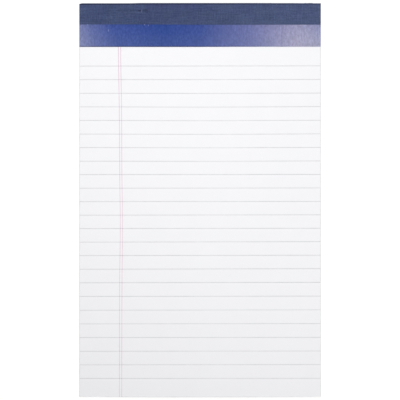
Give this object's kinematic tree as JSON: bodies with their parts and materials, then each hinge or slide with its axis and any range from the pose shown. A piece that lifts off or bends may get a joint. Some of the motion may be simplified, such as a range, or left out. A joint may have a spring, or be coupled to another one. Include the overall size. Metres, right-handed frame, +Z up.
{
  "type": "legal pad",
  "caption": "Ruled junior legal pad: perforated sheets on a chipboard back, stapled and taped at the head under a printed header strip.",
  "frame": {"origin": "centre of the whole pad's footprint, on the surface that it lies on", "axes": "+X across the pad to the right of the ruled side, +Y along it towards the bound head, +Z up out of the ruled side"},
  "size_m": [0.127, 0.2074, 0.0063],
  "materials": {
    "sheet_paper": "smooth uncoated white bond, matt",
    "chipboard": "uncoated grey-brown chipboard with darker flecks, matt",
    "header_paper": "coated paper printed blue, fading to lavender at both ends, satin",
    "tape_paper": "slate blue binding tape with a fine embossed grain, satin",
    "staple_wire": "galvanised flat wire",
    "rule_ink": "pale grey-blue ink in the paper's surface, matt",
    "margin_ink": "pale red ink in the paper's surface, matt"
  },
  "bodies": {
    "root": {"backing_board": "chipboard", "sheets": "sheet_paper", "header_strip": "header_paper", "binding_tape": "tape_paper", "staple_left": "staple_wire", "staple_right": "staple_wire", "ruled_lines": "rule_ink", "margin_lines": "margin_ink"}
  },
  "joints": []
}
